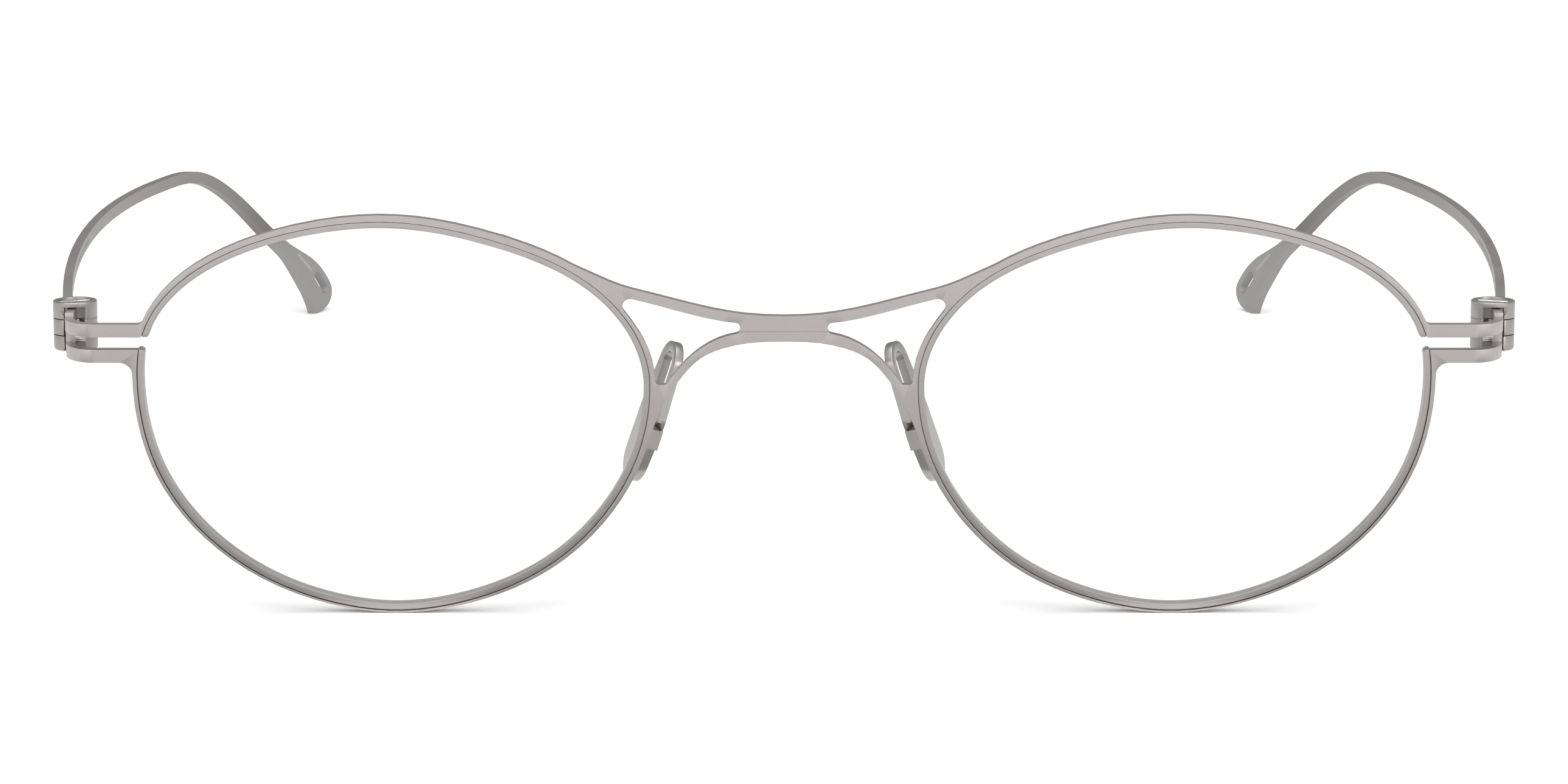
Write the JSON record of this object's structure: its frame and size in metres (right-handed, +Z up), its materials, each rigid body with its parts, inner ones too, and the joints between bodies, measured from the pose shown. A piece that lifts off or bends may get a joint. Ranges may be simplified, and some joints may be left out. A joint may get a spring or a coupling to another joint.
{
  "type": "eyeglasses",
  "caption": "Full-rim wire eyeglasses with a flat-cut metal front, barrel hinges, folding temples, rocking nose pads and clear lenses.",
  "frame": {"origin": "centre of the footprint, on the surface that the rims and the ear tips stand on", "axes": "+X to the wearer's left, +Y from the front towards the ear tips, +Z up"},
  "size_m": [0.143, 0.1226, 0.0385],
  "materials": {
    "titanium_front": "satin blasted titanium sheet",
    "titanium_wire": "satin titanium wire",
    "titanium_barrel": "satin turned titanium",
    "titanium_temple": "satin titanium, darker",
    "titanium_pad": "tumbled, slightly glossy titanium",
    "polished_steel": "polished",
    "lens": "clear, anti-reflection coated"
  },
  "bodies": {
    "front": {"front_plate": "titanium_front", "eyewire_right": "titanium_wire", "eyewire_left": "titanium_wire", "lens_right": "lens", "lens_left": "lens", "pad_arm_right": "titanium_wire", "pad_arm_left": "titanium_wire", "pad_box_right": "titanium_wire", "pad_box_left": "titanium_wire", "pad_pin_right": "polished_steel", "pad_pin_left": "polished_steel", "hinge_top_right": "titanium_barrel", "hinge_top_left": "titanium_barrel", "hinge_bottom_right": "titanium_barrel", "hinge_bottom_left": "titanium_barrel", "hinge_filler_right": "titanium_barrel", "hinge_filler_left": "titanium_barrel", "cross_pin_right": "polished_steel", "cross_pin_left": "polished_steel", "hinge_screw_right": "polished_steel", "hinge_screw_left": "polished_steel"},
    "temple_right": {"knuckle_right": "titanium_barrel", "temple_right": "titanium_temple"},
    "temple_left": {"knuckle_left": "titanium_barrel", "temple_left": "titanium_temple"},
    "pad_right": {"nose_pad_right": "titanium_pad"},
    "pad_left": {"nose_pad_left": "titanium_pad"}
  },
  "joints": [
    {"name": "temple_fold_right", "type": "hinge", "parent": "front", "child": "temple_right", "pos_m": [-0.0664, -0.05467, 0.02658], "axis": [0, -0.0782, -0.9969], "range_deg": [0, 83]},
    {"name": "temple_fold_left", "type": "hinge", "parent": "front", "child": "temple_left", "pos_m": [0.0664, -0.05467, 0.02658], "axis": [0, 0.0782, 0.9969], "range_deg": [0, 77]},
    {"name": "pad_rock_right", "type": "hinge", "parent": "front", "child": "pad_right", "pos_m": [-0.01251, -0.05602, 0.01604], "axis": [0.309, 0.0744, 0.9481], "range_deg": [-5, 5]},
    {"name": "pad_rock_left", "type": "hinge", "parent": "front", "child": "pad_left", "pos_m": [0.01251, -0.05602, 0.01604], "axis": [0.309, -0.0744, -0.9481], "range_deg": [-5, 5]}
  ]
}
